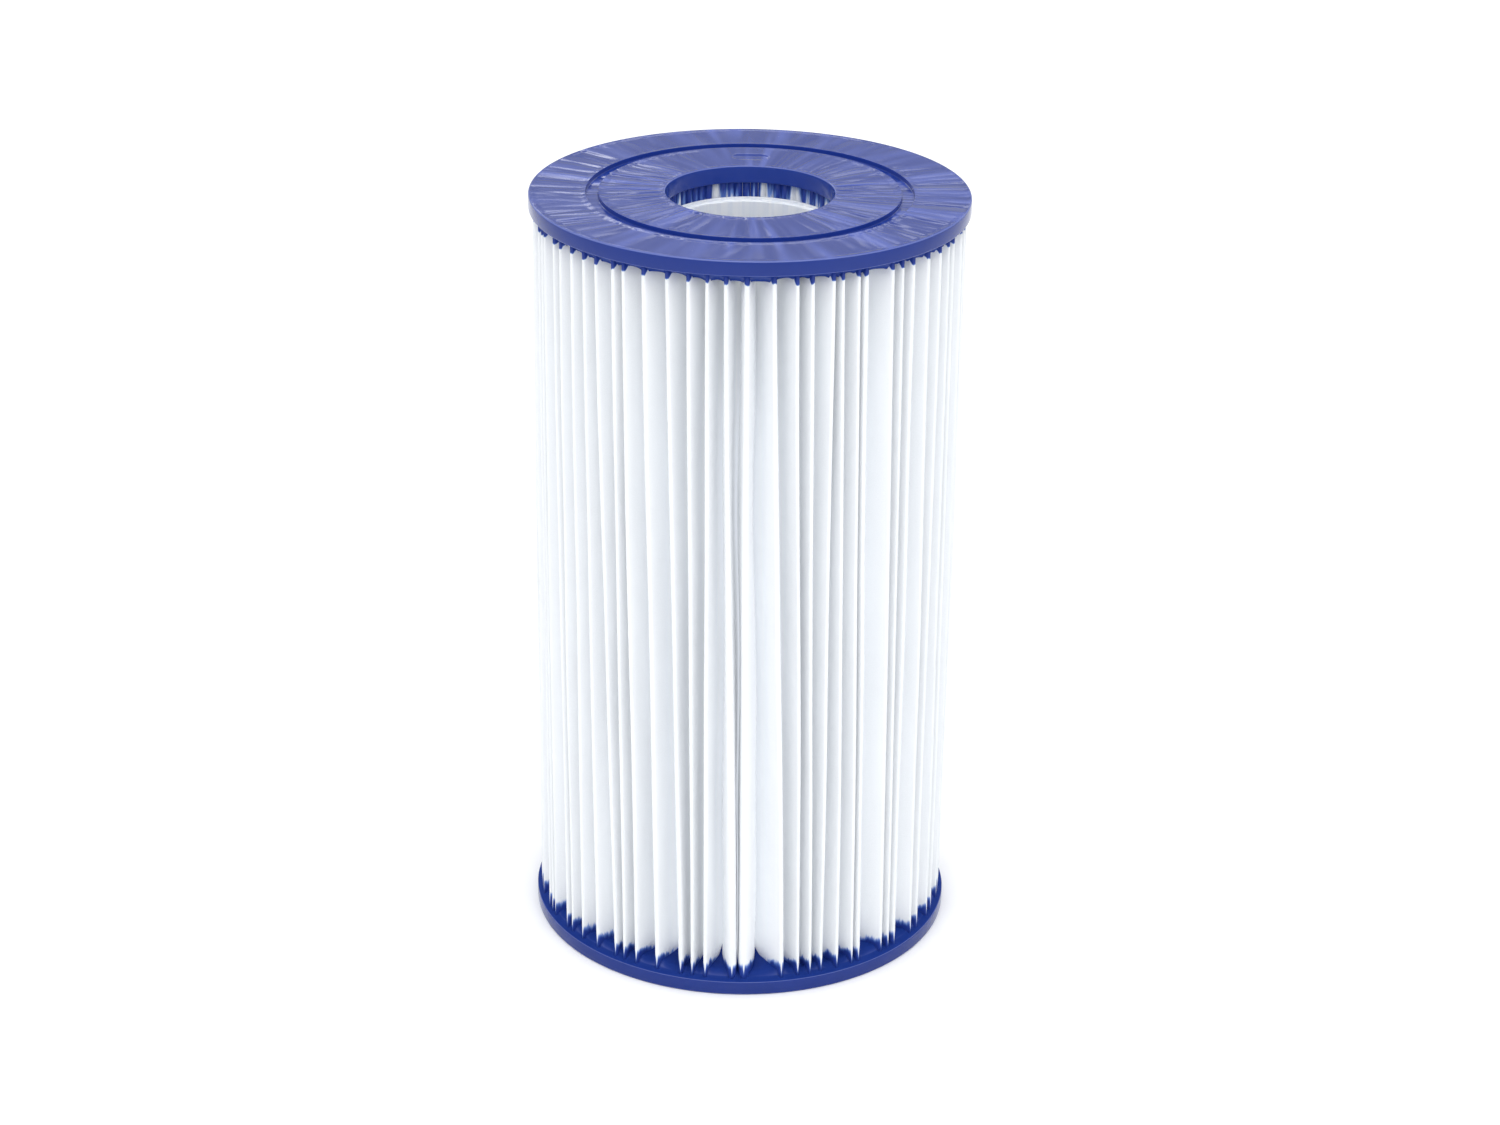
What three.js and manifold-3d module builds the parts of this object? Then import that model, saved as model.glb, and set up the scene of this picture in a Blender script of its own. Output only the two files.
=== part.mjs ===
// Pleated filter cartridge for a pool pump: a folded sheet of non-woven polyester round a
// moulded cage core, with a cast polyurethane cap on each end.
//
// Millimetres, +Z up along the cartridge's axis, origin at the centre of the lower cap's
// outside face. Water passes inwards through the pleats and leaves through the open bore.
import * as THREE from "three";
import { mergeVertices } from "three/addons/utils/BufferGeometryUtils.js";
import Module from "manifold-3d";

const wasm = await Module();
wasm.setup();

// ---- Driving dimensions ------------------------------------------------------------------

const HEIGHT = 256;

const CAP = {
  radius: 71,
  boreRadius: 27.2,
  thickness: 5,
  lip: 0.7, // the bore's wall stands this far proud of the cap's inner face
  lipWidth: 1.2,
  edgeBevel: 0.4,
  grooveInner: 48.9,
  grooveOuter: 52.3,
  grooveDepth: 1.5,
  segments: 96,
};

// A blank recess in each cap's sealing land, where the mould takes an insert.
const INSERT_MARK = { across: 12, along: 5, depth: 0.4, fromAxis: 38 };

const PLEATS = {
  count: 72,
  thickness: 0.5,
  tipRadius: 69.6, // to the outside of the outer folds
  rootRadius: 28.8, // to the inside of the inner folds
  tipWidth: 1.4, // between the two walls' middles at an outer fold
  rootWidth: 1.26,
  embed: 2.6, // how far the sheet's edge is cast into each cap
  clearance: 0.25, // round the sheet where it stands in a cap
};

const SEAM = { angle: Math.PI / 2, gap: 0.9, clearance: 0.1, length: 14, fromTip: 2 };

const CORE = {
  sections: 4,
  outerRadius: 28.4,
  innerRadius: 26.2,
  setback: 10.5, // from each cap's outside face to the core's end
  jointRadius: 27.2, // outside of the spigot under each section
  jointClearance: 0.3,
  spigot: 0.8,
  socket: 1,
  partingGap: 0.2,
  segments: 40,
};

const WINDOW = { columns: 10, rows: 3, width: 11.5, height: 12, pitch: 15 };

// ---- Materials ---------------------------------------------------------------------------

const capMaterial = new THREE.MeshStandardMaterial({ color: 0x2c3f92, roughness: 0.35, metalness: 0 });
const mediaMaterial = new THREE.MeshStandardMaterial({ color: 0xf1f4f8, roughness: 0.9, metalness: 0 });
const coreMaterial = new THREE.MeshStandardMaterial({ color: 0xe9edf2, roughness: 0.45, metalness: 0 });
const glueMaterial = new THREE.MeshStandardMaterial({ color: 0xe4dcc4, roughness: 0.5, metalness: 0 });

// ---- Solids ------------------------------------------------------------------------------

// A closed geometry as a solid that can be joined and cut.
function solidOf(geometry) {
  const bare = geometry.clone();
  bare.deleteAttribute("normal");
  bare.deleteAttribute("uv");
  const merged = mergeVertices(bare, 1e-4);
  return new wasm.Manifold(
    new wasm.Mesh({
      numProp: 3,
      vertProperties: merged.attributes.position.array,
      triVerts: new Uint32Array(merged.index.array),
    }),
  );
}

function geometryOf(solid) {
  const mesh = solid.getMesh();
  const geometry = new THREE.BufferGeometry();
  geometry.setAttribute("position", new THREE.BufferAttribute(mesh.vertProperties, 3));
  geometry.setIndex(new THREE.BufferAttribute(mesh.triVerts, 1));
  geometry.computeVertexNormals();
  return geometry;
}

// A solid of revolution about Z from a closed outline of [radius, z] points.
function revolved(outline, segments) {
  const points = outline.concat([outline[0]]).map(([r, z]) => new THREE.Vector2(r, z));
  return new THREE.LatheGeometry(points, segments).rotateX(Math.PI / 2);
}

function extruded(shape, depth, z) {
  const settings = { depth, bevelEnabled: false, curveSegments: 8 };
  return new THREE.ExtrudeGeometry(shape, settings).translate(0, 0, z);
}

function polar(radius, angle) {
  return new THREE.Vector2(radius * Math.cos(angle), radius * Math.sin(angle));
}

// ---- The pleated sheet -------------------------------------------------------------------

const pleatStep = (2 * Math.PI) / PLEATS.count;

// The middle of the sheet, seen along the axis: out and in once for each pleat, from one side
// of the seam round to the other. The two end walls stand side by side, with the glue between.
function sheetPath(endExtension) {
  const tip = PLEATS.tipRadius - PLEATS.thickness / 2;
  const root = PLEATS.rootRadius + PLEATS.thickness / 2;
  const tipHalf = PLEATS.tipWidth / 2 / tip;
  const rootHalf = PLEATS.rootWidth / 2 / root;
  const seamHalf = (SEAM.gap + PLEATS.thickness) / 2 / tip;
  const end = PLEATS.tipRadius + endExtension;
  const path = [polar(end, SEAM.angle + seamHalf)];
  for (let i = 0; i < PLEATS.count; i++) {
    const rootAngle = SEAM.angle + (i + 0.5) * pleatStep;
    path.push(polar(root, rootAngle - rootHalf), polar(root, rootAngle + rootHalf));
    if (i < PLEATS.count - 1) {
      const tipAngle = rootAngle + pleatStep / 2;
      path.push(polar(tip, tipAngle - tipHalf), polar(tip, tipAngle + tipHalf));
    }
  }
  path.push(polar(end, SEAM.angle - seamHalf));
  return path;
}

// One side of a ribbon: the path moved sideways, with mitred corners.
function offsetPath(path, distance) {
  const normals = path.slice(1).map((point, i) => {
    const along = point.clone().sub(path[i]).normalize();
    return new THREE.Vector2(-along.y, along.x);
  });
  return path.map((point, i) => {
    const before = normals[Math.max(i - 1, 0)];
    const after = normals[Math.min(i, normals.length - 1)];
    const mitre = before.clone().add(after).normalize();
    return point.clone().addScaledVector(mitre, distance / mitre.dot(after));
  });
}

function ribbonShape(path, thickness) {
  const left = offsetPath(path, thickness / 2);
  const right = offsetPath(path, -thickness / 2).reverse();
  return new THREE.Shape(left.concat(right));
}

function pleatedSheet() {
  const bottom = CAP.thickness - PLEATS.embed;
  return extruded(ribbonShape(sheetPath(0), PLEATS.thickness), HEIGHT - 2 * bottom, bottom);
}

// The bead of hot-melt glue between the sheet's two end walls.
function seamStrip() {
  const halfWidth = SEAM.gap / 2 - SEAM.clearance;
  const outer = PLEATS.tipRadius - SEAM.fromTip;
  const shape = new THREE.Shape([
    new THREE.Vector2(-halfWidth, outer - SEAM.length),
    new THREE.Vector2(halfWidth, outer - SEAM.length),
    new THREE.Vector2(halfWidth, outer),
    new THREE.Vector2(-halfWidth, outer),
  ]);
  const bottom = CAP.thickness + SEAM.clearance;
  return extruded(shape, HEIGHT - 2 * bottom, bottom);
}

// ---- End caps ----------------------------------------------------------------------------

// A cap with its outside face at z = 0 and the pleats above it.
function capBody() {
  const { radius, boreRadius, thickness, lip, lipWidth, edgeBevel } = CAP;
  const { grooveInner, grooveOuter, grooveDepth } = CAP;
  return revolved(
    [
      [boreRadius + edgeBevel, 0],
      [grooveInner, 0],
      [grooveInner, grooveDepth],
      [grooveOuter, grooveDepth],
      [grooveOuter, 0],
      [radius - edgeBevel, 0],
      [radius, edgeBevel],
      [radius, thickness],
      [boreRadius + lipWidth, thickness],
      [boreRadius + lipWidth, thickness + lip],
      [boreRadius, thickness + lip],
      [boreRadius, edgeBevel],
    ],
    CAP.segments,
  );
}

// The space that the sheet's edge takes in the cap, with its clearance.
function pleatSlot() {
  const width = PLEATS.thickness + 2 * PLEATS.clearance;
  const floor = CAP.thickness - PLEATS.embed - PLEATS.clearance;
  const slot = ribbonShape(sheetPath(PLEATS.clearance), width);
  return extruded(slot, CAP.thickness + CAP.lip, floor);
}

function insertMark() {
  const { across, along, depth, fromAxis } = INSERT_MARK;
  const end = along / 2;
  const straight = across / 2 - end;
  const shape = new THREE.Shape();
  shape.moveTo(-straight, fromAxis - end);
  shape.lineTo(straight, fromAxis - end);
  shape.absarc(straight, fromAxis, end, -Math.PI / 2, Math.PI / 2, false);
  shape.lineTo(-straight, fromAxis + end);
  shape.absarc(-straight, fromAxis, end, Math.PI / 2, (3 * Math.PI) / 2, false);
  return extruded(shape, 2 * depth, -depth);
}

function endCap() {
  const cuts = solidOf(pleatSlot()).add(solidOf(insertMark()));
  return geometryOf(solidOf(capBody()).subtract(cuts));
}

// ---- Core --------------------------------------------------------------------------------

const sectionPitch = (HEIGHT - 2 * CORE.setback) / CORE.sections;

// A tube with a socket in its top end and a spigot under it, on z = 0.
function sectionTube() {
  const { outerRadius, innerRadius, jointRadius, jointClearance } = CORE;
  const top = sectionPitch - CORE.partingGap;
  return revolved(
    [
      [innerRadius, -CORE.spigot],
      [jointRadius, -CORE.spigot],
      [jointRadius, 0],
      [outerRadius, 0],
      [outerRadius, top],
      [jointRadius + jointClearance, top],
      [jointRadius + jointClearance, top - CORE.socket],
      [innerRadius, top - CORE.socket],
    ],
    CORE.segments,
  );
}

function windowCutter(column, row) {
  const depth = 3 * (CORE.outerRadius - CORE.innerRadius);
  const middle = (CORE.outerRadius + CORE.innerRadius) / 2;
  const z = sectionPitch / 2 + (row - (WINDOW.rows - 1) / 2) * WINDOW.pitch;
  return new THREE.BoxGeometry(depth, WINDOW.width, WINDOW.height)
    .translate(middle, 0, z)
    .rotateZ(((column + 0.5) * 2 * Math.PI) / WINDOW.columns);
}

function coreSection() {
  let solid = solidOf(sectionTube());
  for (let column = 0; column < WINDOW.columns; column++) {
    for (let row = 0; row < WINDOW.rows; row++) {
      solid = solid.subtract(solidOf(windowCutter(column, row)));
    }
  }
  return geometryOf(solid);
}

// ---- Assembly ----------------------------------------------------------------------------

const cartridge = new THREE.Group();

function place(name, geometry, material, z = 0) {
  const mesh = new THREE.Mesh(geometry, material);
  mesh.name = name;
  mesh.position.z = z;
  cartridge.add(mesh);
  return mesh;
}

// Both caps come from one mould: the upper one is turned over about Y.
const capGeometry = endCap();
place("bottom_end_cap", capGeometry, capMaterial);
place("top_end_cap", capGeometry, capMaterial, HEIGHT).rotation.y = Math.PI;

place("pleated_media", pleatedSheet(), mediaMaterial);
place("seam_glue_bead", seamStrip(), glueMaterial);

const sectionGeometry = coreSection();
for (let i = 0; i < CORE.sections; i++) {
  place(`core_section_${i + 1}`, sectionGeometry, coreMaterial, CORE.setback + i * sectionPitch);
}

export default cartridge;
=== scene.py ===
"""A pool filter cartridge: folded white media round a cage core, with a blue cast cap on each end."""
import math
import random

import bpy
from mathutils import Matrix, Vector, noise


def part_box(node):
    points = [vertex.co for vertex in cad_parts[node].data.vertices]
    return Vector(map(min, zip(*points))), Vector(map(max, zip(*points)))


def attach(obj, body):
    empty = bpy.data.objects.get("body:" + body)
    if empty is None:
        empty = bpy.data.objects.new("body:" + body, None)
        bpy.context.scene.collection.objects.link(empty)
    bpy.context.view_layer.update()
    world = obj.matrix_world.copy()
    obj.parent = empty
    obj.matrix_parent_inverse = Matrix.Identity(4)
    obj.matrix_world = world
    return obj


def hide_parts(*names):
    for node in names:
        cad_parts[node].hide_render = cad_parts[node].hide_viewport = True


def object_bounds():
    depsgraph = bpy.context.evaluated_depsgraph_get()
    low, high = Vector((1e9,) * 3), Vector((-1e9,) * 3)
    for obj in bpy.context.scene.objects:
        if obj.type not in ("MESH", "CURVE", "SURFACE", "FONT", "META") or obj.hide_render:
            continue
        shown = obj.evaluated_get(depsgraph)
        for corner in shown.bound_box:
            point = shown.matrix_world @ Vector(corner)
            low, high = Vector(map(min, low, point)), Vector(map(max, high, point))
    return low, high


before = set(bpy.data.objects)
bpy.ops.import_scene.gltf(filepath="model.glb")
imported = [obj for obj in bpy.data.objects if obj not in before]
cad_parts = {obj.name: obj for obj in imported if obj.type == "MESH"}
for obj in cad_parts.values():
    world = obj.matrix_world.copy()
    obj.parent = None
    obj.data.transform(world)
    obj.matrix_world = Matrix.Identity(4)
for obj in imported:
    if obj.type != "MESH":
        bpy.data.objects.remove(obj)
cad_low, cad_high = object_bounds()

MM = 0.001
TAU = 2 * math.pi
FRONT = -math.pi / 2
SEAM = math.pi / 2

# ---- Sizes, in millimetres -------------------------------------------------------------------

RADIUS = cad_high.x / MM
HEIGHT = cad_high.z / MM
media_low, media_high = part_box("pleated_media")

BORE = 27.2
CAP_THICKNESS = 5.0
CAP_LIP = 0.7
LIP_WIDTH = 1.2
GROOVE = (48.6, 52.7)
GROOVE_DEPTH = 1.5
GROOVE_EDGE = 0.1
BORE_EDGE, RIM_EDGE, INNER_EDGE = 0.5, 0.6, 0.5  # how round each of a cap's edges is
FILLET_HEIGHT, FILLET_REACH = 0.6, 0.7  # where resin climbs a panel of the sheet
PANEL_HALF = 0.8  # how far from a panel's middle it stands at its full height
RESIN_RISE = 2.2  # how high it stands between the folds
CREASE_DEPTH, WRINKLE_DEPTH, SWELL_DEPTH = 0.24, 0.04, 0.07  # of the cast surface
CAP_AROUND = 720
MARK_ACROSS, MARK_ALONG, MARK_DEPTH, MARK_RADIUS = 12.0, 5.0, 0.4, 38.0
MARK_MARGIN = 0.6
RING_SPACING, FINE_SPACING, INNER_SPACING = 1.2, 0.3, 1.0  # of a cap's rings, on its faces

PLEATS = 72
STEP = TAU / PLEATS
SHEET = 0.5
TIP_RADIUS = 69.35
ROOT_RADIUS = 29.05
ROOT_WIDTH = 2.0
ROOT_FLATNESS = 0.4
SEAM_GAP = 0.9
PINCH = 0.3  # half the space between a valley's walls where they lie together
MEDIA_ROWS = 29

CORE_OUTER, CORE_INNER, CORE_JOINT = 28.4, 26.2, 27.2
CORE_SOCKET, CORE_SPIGOT, CORE_JOINT_GAP = 1.0, 0.8, 0.3
CORE_EDGE = 0.25
CORE_SECTIONS = 4
WINDOW_COLUMNS, WINDOW_ROWS = 10, 3
WINDOW_WIDTH, WINDOW_HEIGHT, WINDOW_PITCH = 11.5, 12.0, 15.0
WINDOW_STEPS, BAR_STEPS = 6, 4  # mesh steps across a window and across the bar next to it


# ---- Camera ----------------------------------------------------------------------------------

def make_camera():
    """The photograph's viewpoint, fitted to the outlines of both caps."""
    pitch = math.radians(23.955)
    roll = math.radians(0.891)
    distance = 1.0658
    target = Vector((0.0018, 0, 0.1258))
    data = bpy.data.cameras.new("camera")
    data.lens = 75.96
    data.sensor_width = 36
    camera = bpy.data.objects.new("camera", data)
    bpy.context.collection.objects.link(camera)
    back = Vector((0, -math.cos(pitch), math.sin(pitch)))
    place = Matrix.Translation(target + back * distance)
    turn = Matrix.Rotation(math.pi / 2 - pitch, 4, "X") @ Matrix.Rotation(roll, 4, "Z")
    camera.matrix_world = place @ turn
    bpy.context.scene.camera = camera


make_camera()


# ---- Mesh helpers ----------------------------------------------------------------------------

def make_object(name, vertices, faces, material, smooth=True):
    """A mesh object from points in millimetres."""
    mesh = bpy.data.meshes.new(name)
    mesh.from_pydata([Vector(v) * MM for v in vertices], [], faces)
    mesh.update()
    mesh.polygons.foreach_set("use_smooth", [smooth] * len(mesh.polygons))
    mesh.materials.append(material)
    made = bpy.data.objects.new(name, mesh)
    bpy.context.collection.objects.link(made)
    return made


def polar(radius, angle, z):
    """A point from its distance to the axis, its angle and its height."""
    return (radius * math.cos(angle), radius * math.sin(angle), z)


def mix(a, b, t):
    """a where t is 0, b where it is 1."""
    return a + (b - a) * t


def smoothstep(low, high, x):
    """0 at low and beyond, 1 at high and beyond; low may be the greater."""
    t = min(max((x - low) / (high - low), 0), 1)
    return t * t * (3 - 2 * t)


def ring_noise(angle, across, along=0.0, seed=0.0):
    """Smooth noise round a circle, from -1 to 1, with about six times `across` bumps in a turn."""
    return noise.noise((across * math.cos(angle), across * math.sin(angle), along + seed))


# ---- Node helpers ----------------------------------------------------------------------------

class Graph:
    """One material's nodes."""

    def __init__(self, name):
        self.material = bpy.data.materials.new(name)
        self.material.use_nodes = True
        self.tree = self.material.node_tree
        self.shader = self.tree.nodes["Principled BSDF"]
        self.position = self.node("ShaderNodeTexCoord").outputs["Object"]

    def feed(self, socket, value):
        """Links an output to the socket, or puts a constant on the socket itself."""
        if isinstance(value, bpy.types.NodeSocket):
            self.tree.links.new(value, socket)
        else:
            socket.default_value = value

    def node(self, kind, inputs=None, **settings):
        """A new node; inputs has a value or an output for each socket that it names."""
        made = self.tree.nodes.new(kind)
        for key, value in settings.items():
            setattr(made, key, value)
        for key, value in (inputs or {}).items():
            self.feed(made.inputs[key], value)
        return made

    def math(self, operation, *values):
        made = self.node("ShaderNodeMath", operation=operation)
        for socket, value in zip(made.inputs, values):
            self.feed(socket, value)
        return made.outputs[0]

    def vector(self, operation, *values, output=0):
        made = self.node("ShaderNodeVectorMath", operation=operation)
        for socket, value in zip(made.inputs, values):
            self.feed(socket, value)
        return made.outputs[output]

    def ramp(self, value, low, high, to_low=0.0, to_high=1.0, smooth=True):
        """value, mapped from low..high to to_low..to_high and held there outside it."""
        made = self.node("ShaderNodeMapRange", interpolation_type="SMOOTHSTEP" if smooth else "LINEAR")
        for socket, part in zip(made.inputs, (value, low, high, to_low, to_high)):
            self.feed(socket, part)
        return made.outputs[0]

    def noise(self, vector, size, detail):
        """Noise from 0 to 1 whose bumps are about size millimetres across."""
        settings = {"Vector": vector, "Scale": 1 / (size * MM), "Detail": detail}
        return self.node("ShaderNodeTexNoise", settings).outputs[0]

    def swing(self, vector, size, detail, reach, middle=0.0):
        """The same noise, stretched to go as far as reach to each side of middle."""
        return self.math("MULTIPLY_ADD", self.noise(vector, size, detail), 2 * reach, middle - reach)

    def follow(self, value, points):
        """The height, at value, of the line through the (value, height) points."""
        result = points[0][1]
        for (start, low), (end, high) in zip(points, points[1:]):
            rise = self.ramp(value, start, end, 0.0, high - low, smooth=False)
            result = self.math("ADD", result, rise)
        return result

    def colour(self, factor, first, second):
        """A blend of two colours: the first where factor is 0, the second where it is 1."""
        made = self.node("ShaderNodeMix", data_type="RGBA")
        for index, value in ((0, factor), (6, first), (7, second)):
            self.feed(made.inputs[index], value)
        return made.outputs[2]

    def stretched(self, factors):
        """The place on the part, scaled along each axis: a small factor draws a texture out."""
        return self.vector("MULTIPLY", self.position, factors)

    def bump(self, height, distance, strength, normal=None):
        """A normal for relief that is distance millimetres deep, on top of another normal if given."""
        inputs = {"Height": height, "Distance": distance * MM, "Strength": strength}
        if normal is not None:
            inputs["Normal"] = normal
        return self.node("ShaderNodeBump", inputs).outputs[0]

    def finish(self, **sockets):
        """Feeds the shader's sockets; Base_Color stands for Base Color."""
        for key, value in sockets.items():
            self.feed(self.shader.inputs[key.replace("_", " ")], value)


def cylinder_coordinates(graph):
    """Distance from the axis, the direction from it, and height."""
    flat = graph.vector("MULTIPLY", graph.position, (1, 1, 0))
    radius = graph.vector("LENGTH", flat, output=1)
    direction = graph.vector("NORMALIZE", flat)
    height = graph.node("ShaderNodeSeparateXYZ", {"Vector": graph.position}).outputs[2]
    return radius, direction, height


# ---- Materials -------------------------------------------------------------------------------

RESIN = (0.006, 0.026, 0.20, 1)
RESIN_MOTTLED = (0.010, 0.034, 0.24, 1)
# Painted reflection: a paler blue drawn on the raised streaks of a cap's flat faces.
RESIN_STREAK_HIGHLIGHT = (0.055, 0.095, 0.42, 1)
RESIN_INSIDE = (0.010, 0.034, 0.22, 1)
# A paler resin blue: painted light on the caps' shaded bore and groove walls, and the colour of sheet
# that is soaked through.
RESIN_SOAK_AND_PAINTED_LIGHT = (0.019, 0.050, 0.31, 1)
# Painted highlight: a paler blue along the rounded edges at a cap's rim and bore.
RESIN_EDGE_HIGHLIGHT = (0.14, 0.18, 0.46, 1)
RESIN_THIN = (0.16, 0.29, 0.66, 1)
MEDIA = (0.90, 0.92, 0.945, 1)
MEDIA_PALE = (0.93, 0.95, 0.975, 1)
MEDIA_FIBRE = (0.87, 0.89, 0.915, 1)
CORE_MILKY = (0.90, 0.935, 0.98, 1)
CORE_CLEAR = (0.96, 0.98, 1.0, 1)
CORE_SHADED = (0.82, 0.86, 0.94, 1)
GLUE_AMBER = (0.74, 0.66, 0.46, 1)
GLUE_PALE = (0.85, 0.80, 0.66, 1)

# How far the resin climbs the sheet from each cap, as (depth, level) in mm. The depth is how far
# a point lies behind the outer folds.
FOOT_CLIMB = ((-0.3, 0.6), (-0.12, 4.8), (3.0, 4.6), (13.0, 0.6), (30.0, -2.0))
HEAD_CLIMB = ((0.2, 2.9), (2.4, 0.8), (30.0, 0.8), (38.0, 4.5))
AT_ROOTS = (30.0, 38.0)  # the depths over which a panel turns into an inner fold
STREAK_SCALE, STREAK_PATCH_SCALE = 11.0, 1.7


def flatness(g):
    """How far a surface faces straight up or down, from 0 to 1."""
    normal = g.node("ShaderNodeNewGeometry").outputs["Normal"]
    facing = g.node("ShaderNodeSeparateXYZ", {"Vector": normal})
    return g.math("ABSOLUTE", facing.outputs[2])


def cast_streaks(g, radius, direction, flat):
    """Streaks that run out from the bore on a cap's flat faces, about 0 and stronger in places."""
    along = g.node("ShaderNodeCombineXYZ", {"Z": g.math("MULTIPLY", radius, 2.0)}).outputs[0]
    fan = g.vector("ADD", direction, along)

    def fan_noise(scale):
        return g.node("ShaderNodeTexNoise", {"Vector": fan, "Scale": scale, "Detail": 1.0}).outputs[0]

    streaks = fan_noise(STREAK_SCALE)
    patches = fan_noise(STREAK_PATCH_SCALE)
    relief = g.math("MULTIPLY", g.ramp(flat, 0.9, 0.98), g.ramp(patches, 0.35, 0.6, 0.25, 1.0))
    return g.math("MULTIPLY", g.math("SUBTRACT", streaks, 0.5), relief)


def painted_edge_highlights(g, radius, flat):
    """Painted highlight: 1 on the rounded edges at a cap's rim and bore, which are drawn paler as if
    catching light, 0 elsewhere.
    """
    sloping = g.math("MULTIPLY", g.ramp(flat, 0.25, 0.45), g.ramp(flat, 0.85, 0.985, 1.0, 0.0))
    halfway = (BORE + RADIUS) / 2
    from_halfway = g.math("ABSOLUTE", g.math("SUBTRACT", g.math("DIVIDE", radius, MM), halfway))
    return g.math("MULTIPLY", sloping, g.ramp(from_halfway, 10.0, 12.0))


def painted_light_walls(g, radius, flat):
    """1 on the upright walls of the bore and the groove, which get painted light: a paler blue that
    makes up for the shade they stand in.
    """
    within = g.ramp(radius, (RADIUS - 4) * MM, (RADIUS - 2) * MM, 1.0, 0.0)
    return g.math("MULTIPLY", g.ramp(flat, 0.5, 0.2), within)


def inside_faces(g, height, flat):
    """1 on the faces that the folds stand in, which aren't as glossy."""
    from_middle = g.math("ABSOLUTE", g.math("SUBTRACT", g.math("DIVIDE", height, MM), HEIGHT / 2))
    inside = HEIGHT / 2 - CAP_THICKNESS
    return g.math("MULTIPLY", g.ramp(from_middle, inside + 0.5, inside + 0.1), g.ramp(flat, 0.4, 0.8))


def cap_material():
    """Cast blue polyurethane: glossy, with streaks that run out from the bore; its paler streaks,
    edges and bore and groove walls are painted light.
    """
    g = Graph("cast_resin")
    radius, direction, height = cylinder_coordinates(g)
    flat = flatness(g)
    streaks = cast_streaks(g, radius, direction, flat)
    inside = inside_faces(g, height, flat)
    mottle = g.noise(g.position, 14, 3.0)
    scuffs = g.ramp(g.noise(g.position, 0.5, 4.0), 0.62, 0.78)
    base = g.colour(g.ramp(mottle, 0.3, 0.7, 0.0, 0.35), RESIN, RESIN_MOTTLED)
    # Painted reflection: the raised side of the streaks is drawn paler, as if the glossy resin caught
    # light there.
    base = g.colour(g.ramp(streaks, -0.05, 0.18, 0.0, 0.6), base, RESIN_STREAK_HIGHLIGHT)
    # Painted highlight: a paler blue along the rounded edges, chosen by which way they face.
    base = g.colour(g.math("MULTIPLY", painted_edge_highlights(g, radius, flat), 0.7), base, RESIN_EDGE_HIGHLIGHT)
    # Painted light: the shaded bore and groove walls are drawn a paler blue.
    base = g.colour(painted_light_walls(g, radius, flat), base, RESIN_SOAK_AND_PAINTED_LIGHT)
    base = g.colour(inside, base, RESIN_INSIDE)
    rough = g.math("MULTIPLY_ADD", scuffs, 0.12, g.ramp(streaks, -0.2, 0.2, 0.12, 0.2))
    rough = g.math("MULTIPLY_ADD", inside, 0.4, rough)
    gloss = g.math("MULTIPLY_ADD", inside, -0.4, 0.5)
    normal = g.bump(streaks, 0.85, 0.8)
    normal = g.bump(g.noise(g.position, 1.1, 1.0), 0.01, 0.05, normal)
    g.finish(Base_Color=base, Roughness=rough, Normal=normal, IOR=1.35, Specular_IOR_Level=gloss)
    return g.material


def resin_stain(g, depth, from_foot, from_head):
    """How wet with resin the sheet is, from 0 to 1. The resin has climbed it unevenly."""
    patches = g.swing(g.stretched((1, 1, 0.35)), size=3.6, detail=2.0, reach=3.0)
    ragged = g.swing(g.stretched((1, 1, 0.3)), size=0.9, detail=3.0, reach=1.2)
    wander = g.math("ADD", patches, ragged)
    runs = g.swing(g.stretched((1, 1, 0.05)), size=2.8, detail=2.0, reach=22.0, middle=2.0)
    runs = g.math("MULTIPLY", runs, g.ramp(depth, *AT_ROOTS))

    def soaked(distance, climb, restless, softness):
        """How wet it is at a distance from a cap; restless is how much of the wander shows."""
        level = g.math("MULTIPLY_ADD", wander, restless, g.follow(depth, climb))
        level = g.math("ADD", level, runs)
        return g.ramp(g.math("DIVIDE", g.math("SUBTRACT", level, distance), softness), -1.0, 1.0)

    at_foot = soaked(from_foot, FOOT_CLIMB, g.ramp(depth, 0.0, 1.5, 0.5, 1.0), 1.6)
    soft_roots = g.ramp(depth, *AT_ROOTS, 0.4, 5.0)
    at_head = soaked(from_head, HEAD_CLIMB, g.ramp(depth, 0.0, 30.0, 0.45, 1.0), soft_roots)
    return g.math("MAXIMUM", at_foot, at_head)


def painted_valley_glow(g, depth, from_head, stain):
    """Painted light: a glow from the sheet between the folds, where they shade each other, with
    painted shade under the top cap, where it glows less.
    """
    between = g.math("MULTIPLY", g.ramp(depth, 2.0, 14.0), g.ramp(depth, *AT_ROOTS, 1.0, 0.3))
    # Painted shade: the glow is weaker under the top cap.
    painted_cap_shade = g.ramp(from_head, 0.0, 70.0, 0.55, 1.05)
    through = g.math("MULTIPLY", between, painted_cap_shade)
    return g.math("MULTIPLY", through, g.ramp(stain, 0.0, 1.0, 0.15, 0.6))


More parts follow.
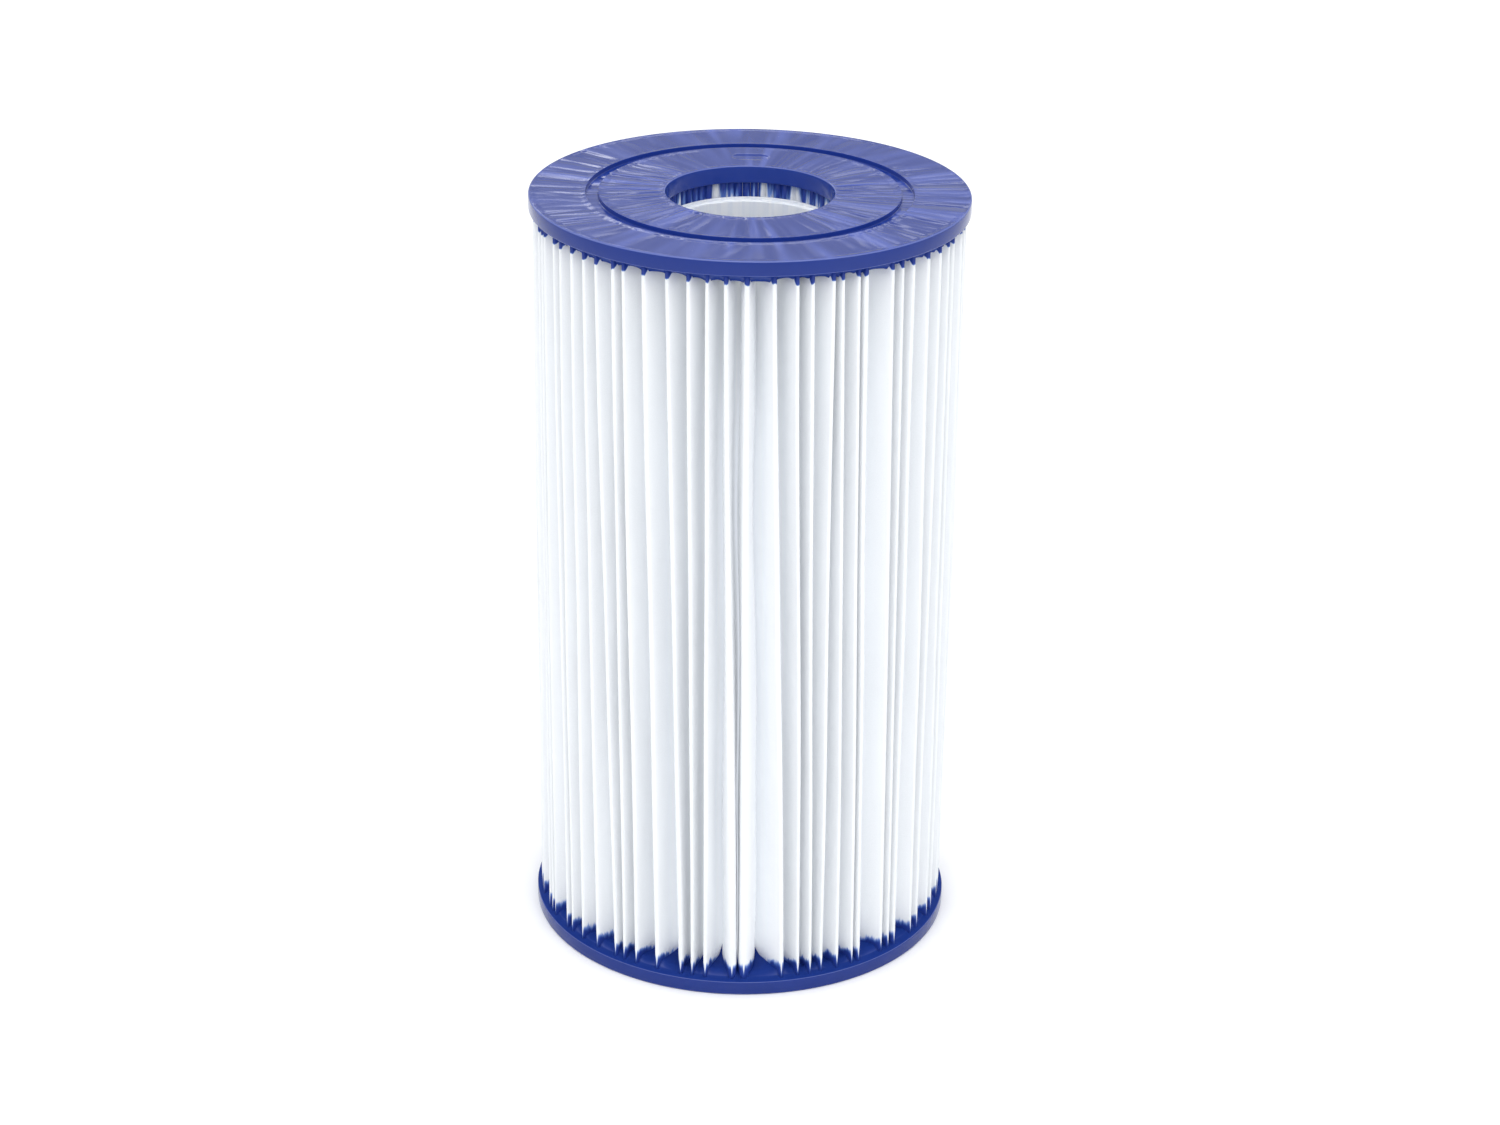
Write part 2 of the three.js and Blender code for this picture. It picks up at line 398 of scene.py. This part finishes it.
def media_material():
    """White non-woven polyester that has soaked up blue resin next to each cap."""
    g = Graph("pleated_polyester")
    radius, _, height = cylinder_coordinates(g)
    depth = g.math("SUBTRACT", TIP_RADIUS, g.math("DIVIDE", radius, MM))
    from_foot = g.math("SUBTRACT", g.math("DIVIDE", height, MM), CAP_THICKNESS)
    from_head = g.math("SUBTRACT", HEIGHT - CAP_THICKNESS, g.math("DIVIDE", height, MM))
    stain = resin_stain(g, depth, from_foot, from_head)
    fibre = g.noise(g.position, 0.35, 4.0)
    cloud = g.noise(g.stretched((1, 1, 0.2)), 9, 3.0)
    white = g.colour(g.ramp(fibre, 0.3, 0.7), MEDIA_FIBRE, MEDIA)
    white = g.colour(g.ramp(cloud, 0.35, 0.7, 0.0, 0.5), white, MEDIA_PALE)
    edge = g.colour(g.ramp(stain, 0.0, 0.55), white, RESIN_THIN)
    base = g.colour(g.ramp(stain, 0.35, 1.0), edge, RESIN_SOAK_AND_PAINTED_LIGHT)
    g.finish(
        Base_Color=base,
        Roughness=g.ramp(stain, 0.2, 1.0, 0.9, 0.38),
        Normal=g.bump(fibre, 0.06, 0.5),
        IOR=1.4,
        Emission_Color=base,
        # Painted light: the sheet glows between its folds, more where it is stained and less under the
        # top cap.
        Emission_Strength=painted_valley_glow(g, depth, from_head, stain),
    )
    return g.material


def core_material():
    """Natural polypropylene: milky and slightly glossy, with flow marks."""
    g = Graph("milky_polypropylene")
    flow = g.noise(g.stretched((1, 1, 0.15)), 4, 3.0)
    # Painted shade: darker upright stripes stand in for the folds seen through the milky wall.
    painted_fold_shade = g.noise(g.stretched((1, 1, 0.02)), 1.5, 1.0)
    base = g.colour(g.ramp(flow, 0.3, 0.7), CORE_MILKY, CORE_CLEAR)
    base = g.colour(g.ramp(painted_fold_shade, 0.4, 0.6, 0.6, 0.0), base, CORE_SHADED)
    rough = g.ramp(flow, 0.3, 0.7, 0.28, 0.42)
    g.finish(Base_Color=base, Roughness=rough, Normal=g.bump(flow, 0.05, 0.4))
    g.shader.inputs["Subsurface Weight"].default_value = 0.3
    g.shader.inputs["Subsurface Radius"].default_value = (1.0, 1.0, 1.0)
    g.shader.inputs["Subsurface Scale"].default_value = 2 * MM
    return g.material


def glue_material():
    """Hot-melt glue: pale amber and waxy."""
    g = Graph("hot_melt_glue")
    cloud = g.noise(g.position, 3, 3.0)
    base = g.colour(g.ramp(cloud, 0.3, 0.7), GLUE_AMBER, GLUE_PALE)
    rough = g.ramp(cloud, 0.3, 0.7, 0.3, 0.5)
    g.finish(Base_Color=base, Roughness=rough, Normal=g.bump(cloud, 0.1, 0.5))
    return g.material


# ---- Where the folds stand -------------------------------------------------------------------

# The folds at the front, as (head, foot) in degrees to the right of it. Two come together at the
# foot, and a wide panel lies open next to them.
FIRST_SET_FOLD = 30
SET_FOLDS = (
    (-34.0, -29.0),
    (-28.0, -22.5),
    (-21.5, -15.5),
    (-15.5, -12.5),
    (-10.5, -9.0),
    (-6.0, -1.3),
    (-0.5, 1.7),
    (6.0, 12.5),
    (12.0, 17.0),
    (16.0, 20.5),
    (23.0, 23.5),
)
BROAD_FOLDS = (35, 36)
BROADER = 1.5  # how much wider these two are at the foot, in mm
LEAN = math.radians(2.8)  # how far folds at the front stand off straight, at each end
CLOSEST = 0.46 * STEP  # between two outer folds
FREE_FOLDS = 6  # how many folds next to the seam are held more and more in place by it
DRIFT, HEAD_DRIFT, FOOT_DRIFT = 0.28, 0.1, 0.16  # how far folds stray, in steps from fold to fold
BEND = 0.1  # how far a fold bends between its ends, in the same steps
FOLD_SHARE = 0.07  # of the room between its neighbours, how much an outer fold takes up
WIDTH_CHANGE = 0.35  # how far that varies, in mm
NARROWEST, WIDEST = 0.6, 2.0  # outer folds, in mm


def kept_apart(angles, gap, rounds=60):
    """The same angles, after some rounds of pushing neighbours apart that are closer than gap."""
    angles = list(angles)
    for _ in range(rounds):
        for i in range(1, len(angles) - 2):
            short = gap - (angles[i + 1] - angles[i])
            if short > 0:
                angles[i] -= short / 2
                angles[i + 1] += short / 2
        angles[1] = max(angles[1], angles[0] + gap)
        angles[-2] = min(angles[-2], angles[-1] - gap)
    return angles


def fold_angles(seed):
    """Each outer fold's angle at the head and at the foot, from one side of the seam to the other."""
    chance = random.Random(seed)
    head, foot = [], []
    for i in range(PLEATS + 1):
        even = SEAM + i * STEP
        free = math.sin(math.pi * min(i, PLEATS - i, FREE_FOLDS) / (2 * FREE_FOLDS))
        ahead = even - (FRONT + TAU)
        lean = LEAN * (1 + math.cos(ahead)) / 2
        shared = chance.gauss(0, DRIFT) * STEP * free
        head.append(even - lean + shared + chance.gauss(0, HEAD_DRIFT) * STEP * free)
        foot.append(even + lean + shared + chance.gauss(0, FOOT_DRIFT) * STEP * free)
    for i, (at_head, at_foot) in enumerate(SET_FOLDS, FIRST_SET_FOLD):
        head[i] = FRONT + TAU + math.radians(at_head)
        foot[i] = FRONT + TAU + math.radians(at_foot)
    return kept_apart(head, CLOSEST), kept_apart(foot, CLOSEST)


# The best of 300,000 seeds tried against the angles of the front folds in the photograph.
FOLD_SEED = 144198
head_folds, foot_folds = fold_angles(FOLD_SEED)


def fold_angle(i, z):
    """Outer fold i's angle at a height: it drifts from foot to head, and bends a little on the way."""
    t = z / HEIGHT
    bend = BEND * STEP * noise.noise((i * 0.7, 2.3 * t, 5.0)) * math.sin(math.pi * t)
    if i in (0, PLEATS):
        bend = 0
    return mix(foot_folds[i], head_folds[i], smoothstep(-0.25, 1.25, t)) + bend


def fold_width(i, z):
    """How wide outer fold i is, in mm: broad where its neighbours leave it room."""
    room = fold_angle(i + 1, z) - fold_angle(i - 1, z)
    width = FOLD_SHARE * room * TIP_RADIUS + WIDTH_CHANGE * noise.noise((i * 3.1, z / 90, 1.0))
    broader = BROADER * smoothstep(1, 0, z / HEIGHT) if i in BROAD_FOLDS else 0
    return min(max(width, NARROWEST), WIDEST) + broader


def root_angle(i):
    """Inner fold i's angle. The core holds the inner folds evenly, at every height."""
    return SEAM + (i + 0.5) * STEP


# ---- The pleated media -----------------------------------------------------------------------

WALL_STEPS = 8
TIP_STEPS = 5
ROOT_STEPS = 3
ROOT_MIDDLE = ROOT_RADIUS + ROOT_WIDTH / 2 * ROOT_FLATNESS
WALL_END = 0.8  # how far behind the tips a panel ends, in mm
WALL_BOW = 1.6  # how far it bows sideways at most, in mm
VALLEY_MOUTH = 0.62  # where a valley's walls start to part, from 0 at the root to 1 at the tips
MOUTH_POWER = 1.15
TIP_FLARE = 0.25  # how much of the parting happens just behind the tips
FLARE_POWER = 12


def wall(root, left, right, z, side):
    """One panel of a valley, from its inner fold out to an outer fold's edge.

    left and right are the angles where the valley opens. Its walls lie close together until
    near the outside, then curl apart. side is -1 for the left wall and 1 for the right one.
    """
    middle = (left + right) / 2
    open_half = (right - left) / 2 * TIP_RADIUS
    points = []
    for k in range(1, WALL_STEPS):
        s = math.sin(math.pi / 2 * k / WALL_STEPS)
        radius = mix(ROOT_MIDDLE, TIP_RADIUS - WALL_END, s)
        parted = max((s - VALLEY_MOUTH) / (1 - VALLEY_MOUTH), 0) ** MOUTH_POWER
        parted = mix(parted, s ** FLARE_POWER, TIP_FLARE)
        half = mix(PINCH, open_half, parted)
        bow = WALL_BOW * ring_noise(middle, 3, z / 70) * 4 * s * (1 - s)
        angle = mix(root, middle, s) + (bow + side * half) / radius
        points.append(Vector(polar(radius, angle, 0)).xy)
    return points


def rounded_fold(radius, angle, width, steps, outer):
    """The bend at an outer or an inner fold; radius is to its middle. Inner folds are flatter."""
    centre = Vector((radius * math.cos(angle), radius * math.sin(angle)))
    out = Vector((math.cos(angle), math.sin(angle)))
    side = Vector((-out.y, out.x))
    points = []
    for k in range(steps):
        a = math.pi * (k / (steps - 1) - 0.5)
        push = math.cos(a) if outer else -math.cos(a)
        deep = out * push * (1 if outer else ROOT_FLATNESS)
        points.append(centre + (deep + side * math.sin(a)) * width / 2)
    return points


def outer_fold(i, z):
    """Outer fold i's middle radius, angle and width. Half way up, folds bulge out a little."""
    width = fold_width(i, z)
    proud = (0.2 + 0.35 * noise.noise((i * 1.7, z / 80, 9.0))) * math.sin(math.pi * z / HEIGHT)
    return TIP_RADIUS + proud - width / 2, fold_angle(i, z), width


def sheet_line(z):
    """The middle of the sheet at one height, all the way round."""
    seam_half = (SEAM_GAP + SHEET) / 2 / TIP_RADIUS
    first = fold_angle(0, z) + seam_half
    last = fold_angle(PLEATS, z) - seam_half
    line = [Vector(polar(TIP_RADIUS, first, 0)).xy]
    left = first
    for i in range(PLEATS):
        if i < PLEATS - 1:
            reach, angle, width = outer_fold(i + 1, z)
            right = angle - width / 2 / reach
        else:
            right = last
        line += reversed(wall(root_angle(i), left, right, z, -1))
        line += rounded_fold(ROOT_MIDDLE, root_angle(i), ROOT_WIDTH, ROOT_STEPS, False)
        line += wall(root_angle(i), left, right, z, 1)
        if i < PLEATS - 1:
            line += rounded_fold(reach, angle, width, TIP_STEPS, True)
            left = angle + width / 2 / reach
    line.append(Vector(polar(TIP_RADIUS, last, 0)).xy)
    return line


def both_sides(line):
    """The sheet's two faces: the line moved half a thickness each way."""
    left, right = [], []
    for i, point in enumerate(line):
        along = line[min(i + 1, len(line) - 1)] - line[max(i - 1, 0)]
        normal = Vector((-along.y, along.x)).normalized() * (SHEET / 2)
        left.append(point + normal)
        right.append(point - normal)
    return left + right[::-1]


def make_media(material):
    """The whole sheet as one closed strip, with its two ends at the seam."""
    low, high = media_low.z / MM, media_high.z / MM
    vertices, faces = [], []
    for row in range(MEDIA_ROWS):
        z = mix(low, high, row / (MEDIA_ROWS - 1))
        line = sheet_line(z)
        vertices += [(p.x, p.y, z) for p in both_sides(line)]
    around = len(vertices) // MEDIA_ROWS
    for row in range(MEDIA_ROWS - 1):
        for i in range(around):
            j = (i + 1) % around
            a = row * around
            b = a + around
            faces.append((a + j, a + i, b + i, b + j))
    for i in range(around // 2 - 1):
        k = around - 1 - i
        top = (MEDIA_ROWS - 1) * around
        faces.append((i, i + 1, k - 1, k))
        faces.append((top + i + 1, top + i, top + k, top + k - 1))
    media = make_object("media", vertices, faces, material)
    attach(media, "root")
    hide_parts("pleated_media")


# ---- End caps --------------------------------------------------------------------------------

def cap_rings():
    """A cap's section as (radius, height, face) rings, from the bore's inner lip out and back.

    The outside face is at height 0 and the pleats are above it. face is 1 on the wavy outside
    face, -1 on the inside one and 0 elsewhere. Rings stand close together next to sharp corners,
    which keeps the shading of the flat parts flat.
    """
    lip_end = CAP_THICKNESS + CAP_LIP
    rings = [(BORE + 0.1, lip_end, 0), (BORE, lip_end - 0.1, 0)]
    rings += [(BORE, lip_end - 0.3, 0), (BORE, 1.0, 0)]

    def rounded(radius, height, size, start, steps=4):
        """A quarter circle about (radius, height), from start degrees on."""
        for k in range(steps + 1):
            a = math.radians(start + 90 * k / steps)
            rings.append((radius + size * math.cos(a), height + size * math.sin(a), 0))

    def level(start, end, height, face, spacing):
        """Rings on a flat face, between its ends and not at them."""
        steps = max(2, round(abs(end - start) / spacing))
        for k in range(1, steps):
            rings.append((mix(start, end, k / steps), height, face))

    inner, outer = GROOVE
    mark_start = MARK_RADIUS - MARK_ALONG / 2 - MARK_MARGIN
    mark_end = MARK_RADIUS + MARK_ALONG / 2 + MARK_MARGIN
    rounded(BORE + BORE_EDGE, BORE_EDGE, BORE_EDGE, 180)
    level(BORE + BORE_EDGE, mark_start, 0, 1, RING_SPACING)
    level(mark_start, mark_end, 0, 1, FINE_SPACING)
    level(mark_end, inner - GROOVE_EDGE, 0, 1, RING_SPACING)
    rounded(inner - GROOVE_EDGE, GROOVE_EDGE, GROOVE_EDGE, 270)
    walls = [(inner, 0.2), (inner, GROOVE_DEPTH - 0.3), (inner, GROOVE_DEPTH - 0.15)]
    walls += [(inner + 0.15, GROOVE_DEPTH), (inner + 0.4, GROOVE_DEPTH)]
    rings.extend((radius, height, 0) for radius, height in walls)
    rings.extend((inner + outer - radius, height, 0) for radius, height in reversed(walls))
    rounded(outer + GROOVE_EDGE, GROOVE_EDGE, GROOVE_EDGE, 180)
    level(outer + GROOVE_EDGE, RADIUS - RIM_EDGE, 0, 1, RING_SPACING)
    rounded(RADIUS - RIM_EDGE, RIM_EDGE, RIM_EDGE, 270)
    rings.append((RADIUS, CAP_THICKNESS / 2, 0))
    rounded(RADIUS - INNER_EDGE, CAP_THICKNESS - INNER_EDGE, INNER_EDGE, 0)
    level(RADIUS - INNER_EDGE, BORE + LIP_WIDTH + 0.3, CAP_THICKNESS, -1, INNER_SPACING)
    rings.append((BORE + LIP_WIDTH, lip_end - 0.2, 0))
    rings.append((BORE + LIP_WIDTH - 0.2, lip_end, 0))
    return rings


def ripple(radius, angle, seed):
    """How far the outside face dips, in mm: creases fan out where the pleats' ends lie under it."""
    fan = ring_noise(angle + 0.03 * math.sin(radius / 9), 12, radius / 24, seed)
    fine = ring_noise(angle - 0.03 * math.sin(radius / 7), 30, radius / 18, seed + 40)
    swell = ring_noise(angle, 3.5, radius / 25, seed + 80)
    crowded = smoothstep(-0.5, 0.3, ring_noise(angle, 1.6, radius / 40, seed + 120))
    creases = CREASE_DEPTH * crowded * (1 - abs(fan)) ** 2
    wrinkles = WRINKLE_DEPTH * (1 + fine) * crowded
    return creases + wrinkles + SWELL_DEPTH * (1 + swell)


def mark_depth(x, y):
    """The blank insert mark: a shallow pill-shaped recess in the land behind the bore."""
    end = MARK_ALONG / 2
    outside = math.hypot(max(abs(x) - (MARK_ACROSS / 2 - end), 0), y - MARK_RADIUS) - end
    return MARK_DEPTH * (1 - smoothstep(-0.7, 0.4, outside))


def fold_distance(radius, angle, folds):
    """How far a point on a cap's inside face is from the nearest panel of media, in mm."""
    s = min(max((radius - ROOT_RADIUS) / (TIP_RADIUS - ROOT_RADIUS), 0), 1)
    turn = (angle - SEAM) % TAU + SEAM
    nearest = min(abs(mix(SEAM + i * STEP, fold, s) - turn) for i, fold in folds_near(turn, folds))
    beyond = max(radius - TIP_RADIUS, 0)
    return math.hypot(max(nearest * radius - PANEL_HALF, 0), beyond)


def folds_near(turn, folds):
    """The few folds, with their numbers, that could be the nearest to an angle."""
    middle = round((turn - SEAM) / STEP)
    first = max(middle - 3, 0)
    return list(enumerate(folds))[first:middle + 4]


def pooled(radius):
    """How much of the resin's rise between the folds a radius has: none next to the bore's lip."""
    return smoothstep(BORE + LIP_WIDTH + 1, BORE + LIP_WIDTH + 8, radius)


def make_cap(name, node, material, top, seed):
    """One end cap. The top one is turned over, and seed sets how the cast surface lies.

    On the inside face, resin climbs each panel of the sheet and stands higher between the folds.
    """
    rings = cap_rings()
    folds = head_folds if top else foot_folds
    vertices, faces = [], []
    for radius, height, face in rings:
        for k in range(CAP_AROUND):
            angle = k * TAU / CAP_AROUND
            z = height
            if face > 0:
                x, y = radius * math.cos(angle), radius * math.sin(angle)
                z += ripple(radius, angle, seed) + mark_depth(x, y)
            if face < 0:
                near = fold_distance(radius, angle, folds)
                fillet = FILLET_HEIGHT * math.exp(-near / FILLET_REACH)
                z += fillet * smoothstep(RADIUS - 0.8, RADIUS - 2, radius)
                pool = RESIN_RISE * (1 + 0.5 * ring_noise(angle, 9, radius / 12, seed + 3))
                z += pool * smoothstep(TIP_RADIUS, TIP_RADIUS - 2.2, radius) * pooled(radius)
            vertices.append(polar(radius, angle, HEIGHT - z if top else z))
    count = len(rings)
    for i in range(count):
        for k in range(CAP_AROUND):
            a = i * CAP_AROUND + k
            b = i * CAP_AROUND + (k + 1) % CAP_AROUND
            c = (i + 1) % count * CAP_AROUND + (k + 1) % CAP_AROUND
            d = (i + 1) % count * CAP_AROUND + k
            faces.append((a, d, c, b) if top else (a, b, c, d))
    cap = make_object(name, vertices, faces, material)
    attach(cap, "root")
    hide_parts(node)


# ---- Core ------------------------------------------------------------------------------------

FIRST_LEVEL = 3  # the first window edge among the points of a section's outer skin


def core_lines():
    """Angles round a core section, each with True where a window starts or runs on from it."""
    half = WINDOW_WIDTH / 2 / CORE_OUTER
    column = TAU / WINDOW_COLUMNS
    lines = []
    for i in range(WINDOW_COLUMNS):
        middle = (i + 0.5) * column
        start, end = middle - half, middle + half
        next_start = middle + column - half
        lines += [(mix(start, end, k / WINDOW_STEPS), True) for k in range(WINDOW_STEPS)]
        lines += [(mix(end, next_start, k / BAR_STEPS), False) for k in range(BAR_STEPS)]
    return lines


def core_section_rings(top):
    """A section's outer skin going up and its inner skin coming down, as (radius, height) points.

    The third result is how many of each skin's points are at window edges.
    """
    levels = []
    for row in range(WINDOW_ROWS):
        middle = top / 2 + (row - (WINDOW_ROWS - 1) / 2) * WINDOW_PITCH
        levels += [middle - WINDOW_HEIGHT / 2, middle + WINDOW_HEIGHT / 2]
    outside = [(CORE_JOINT, -CORE_SPIGOT), (CORE_JOINT, 0), (CORE_OUTER, 0)]
    outside += [(CORE_OUTER, z) for z in levels]
    socket = CORE_JOINT + CORE_JOINT_GAP
    outside += [(CORE_OUTER, top), (socket, top), (socket, top - CORE_SOCKET)]
    inside = [(CORE_INNER, top - CORE_SOCKET)]
    inside += [(CORE_INNER, z) for z in reversed(levels)]
    inside += [(CORE_INNER, -CORE_SPIGOT)]
    return outside, inside, len(levels)


def crosses_windows(ring, outside, levels):
    """Whether the strip from a ring to the next one is cut by a row of windows."""
    steps = (ring - FIRST_LEVEL, ring - outside - 1)
    return any(0 <= step < levels - 1 and step % 2 == 0 for step in steps)


def make_core_section(number, material):
    """One cage tube of the core, counted from the foot."""
    node = f"core_section_{number}"
    low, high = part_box(node)
    foot = low.z / MM + CORE_SPIGOT
    outside, inside, levels = core_section_rings(high.z / MM - foot)
    rings = outside + inside
    lines = core_lines()
    around = len(lines)
    vertices = [polar(r, angle, foot + z) for r, z in rings for angle, _ in lines]
    faces = []
    for i in range(len(rings)):
        j = (i + 1) % len(rings)
        for k in range(around):
            m = (k + 1) % around
            if lines[k][1] and crosses_windows(i, len(outside), levels):
                continue
            faces.append((i * around + k, i * around + m, j * around + m, j * around + k))
    faces += window_sides(lines, len(rings), levels)
    section = make_object(f"core_{number}", vertices, faces, material)
    soften_edges(section, CORE_EDGE)
    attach(section, "root")
    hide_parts(node)


def window_sides(lines, rings, levels):
    """The four sides of every window, between the outer skin and the inner one."""
    around = len(lines)
    faces = []
    for row in range(0, levels, 2):
        low_out = (FIRST_LEVEL + row) * around
        high_out = low_out + around
        low_in = (rings - 2 - row) * around
        high_in = low_in - around
        for k in range(around):
            m = (k + 1) % around
            if not lines[k][1]:
                continue
            faces.append((low_out + k, low_out + m, low_in + m, low_in + k))
            faces.append((high_out + m, high_out + k, high_in + k, high_in + m))
            if not lines[k - 1][1]:
                faces.append((high_out + k, low_out + k, low_in + k, high_in + k))
            if not lines[m][1]:
                faces.append((low_out + m, high_out + m, high_in + m, low_in + m))
    return faces


def soften_edges(piece, width):
    """Rounds a piece's sharp edges; width is in mm."""
    bevel = piece.modifiers.new("rounded_edges", "BEVEL")
    bevel.width = width * MM
    bevel.segments = 2
    bevel.limit_method = "ANGLE"
    bevel.angle_limit = math.radians(40)
    bevel.harden_normals = True


# ---- Seam glue -------------------------------------------------------------------------------

def make_seam_bead(material):
    """The bead between the strip's two end panels, squeezed out in lumps along their edges."""
    low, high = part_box("seam_glue_bead")
    rows, around = 120, 14
    inner, outer = low.y / MM, high.y / MM
    vertices, faces = [], []
    for row in range(rows):
        z = mix(low.z, high.z, row / (rows - 1)) / MM
        lump = 0.5 + 0.5 * noise.noise((0, z / 4, 3.0))
        reach = mix(outer, TIP_RADIUS + 0.3, lump)
        for k in range(around):
            a = TAU * k / around
            radial = mix(inner, reach, 0.5 + 0.5 * math.cos(a))
            bulge = 0.25 + 0.5 * lump * smoothstep(TIP_RADIUS - 1.5, TIP_RADIUS, radial)
            across = math.copysign(abs(math.sin(a)) ** 0.5, math.sin(a)) * bulge
            vertices.append((across, radial, z))
    for row in range(rows - 1):
        for k in range(around):
            m = (k + 1) % around
            a, b = row * around, (row + 1) * around
            faces.append((a + m, a + k, b + k, b + m))
    faces.append(tuple(range(around)))
    faces.append(tuple(reversed(range((rows - 1) * around, rows * around))))
    bead = make_object("seam_bead", vertices, faces, material)
    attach(bead, "root")
    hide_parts("seam_glue_bead")


# ---- Studio ----------------------------------------------------------------------------------

FLOOR_PALE = (0.98, 0.98, 0.98, 1)
FLOOR_GRAIN = (0.96, 0.96, 0.96, 1)
SKY = (0.42, 0.75, 0.55, 1.3)  # from this height to that one, the light goes from this to that
HORIZON = (0.1, 0.35, 0.15, 0.0)  # the same, for the light that is added low down


def make_floor():
    """A white ground that runs past the edges of the picture."""
    half = 8000
    corners = [(-half, -half, 0), (half, -half, 0), (half, half, 0), (-half, half, 0)]
    g = Graph("studio_floor")
    grain = g.noise(g.position, 30, 2.0)
    base = g.colour(g.ramp(grain, 0.3, 0.7), FLOOR_GRAIN, FLOOR_PALE)
    g.finish(Base_Color=base, Roughness=0.9)
    floor = make_object("floor", corners, [(0, 1, 2, 3)], g.material, smooth=False)


def make_world():
    """A bright room: light from above, less from the sides and a little more at the horizon."""
    world = bpy.data.worlds.new("studio")
    world.use_nodes = True
    tree = world.node_tree
    background = tree.nodes["Background"]
    direction = tree.nodes.new("ShaderNodeSeparateXYZ")
    tree.links.new(tree.nodes.new("ShaderNodeTexCoord").outputs["Generated"], direction.inputs[0])
    total = tree.nodes.new("ShaderNodeMath")
    for term, parts in zip(total.inputs, (SKY, HORIZON)):
        fade = tree.nodes.new("ShaderNodeMapRange")
        tree.links.new(direction.outputs[2], fade.inputs[0])
        for socket, value in zip(fade.inputs[1:5], parts):
            socket.default_value = value
        tree.links.new(fade.outputs[0], term)
    tree.links.new(total.outputs[0], background.inputs["Strength"])
    background.inputs["Color"].default_value = (0.98, 0.99, 1, 1)
    bpy.context.scene.world = world
    bpy.context.scene.view_settings.view_transform = "Standard"


def add_lamp(name, kind, place, target, power):
    """A lamp at place that points at target. Returns its settings."""
    lamp_data = bpy.data.lights.new(name, kind)
    lamp_data.energy = power
    lamp = bpy.data.objects.new(name, lamp_data)
    bpy.context.collection.objects.link(lamp)
    lamp.location = place
    aim = Vector(target) - Vector(place)
    lamp.rotation_euler = aim.to_track_quat("-Z", "Y").to_euler()
    return lamp_data


def make_softbox(name, place, size, power):
    """A rectangular light, aimed at the middle of the cartridge."""
    softbox = add_lamp(name, "AREA", place, (0, 0, HEIGHT * MM / 2), power)
    softbox.shape = "RECTANGLE"
    softbox.size, softbox.size_y = size


def make_spot(name, place, target, cone, power):
    """A narrow light with a soft edge; cone is how wide it is, in degrees."""
    spot = add_lamp(name, "SPOT", place, target, power)
    spot.spot_size = math.radians(cone)
    spot.spot_blend = 1
    spot.shadow_soft_size = 0.15


# ---- Assembly --------------------------------------------------------------------------------

resin = cap_material()
make_media(media_material())
make_cap("cap_bottom", "bottom_end_cap", resin, False, 11.0)
make_cap("cap_top", "top_end_cap", resin, True, 37.0)
polypropylene = core_material()
for section_number in range(1, CORE_SECTIONS + 1):
    make_core_section(section_number, polypropylene)
make_seam_bead(glue_material())

make_floor()
make_world()
make_softbox("key", (-0.5, -1.1, 0.9), (0.8, 0.8), 1.3)
make_softbox("fill", (0.9, -0.8, 0.5), (0.5, 0.9), 0.8)
make_softbox("rim", (0, 1.5, 0.94), (1.8, 0.14), 1.6)
make_softbox("rim_left", (-0.38, 1.5, 0.94), (0.5, 0.14), 0.6)
make_softbox("overhead", (0, -0.2, 1.2), (0.9, 0.9), 5)
make_spot("wash", (0.1, -1.2, 0.35), (-0.05, -0.05, 0.11), 12, 5)
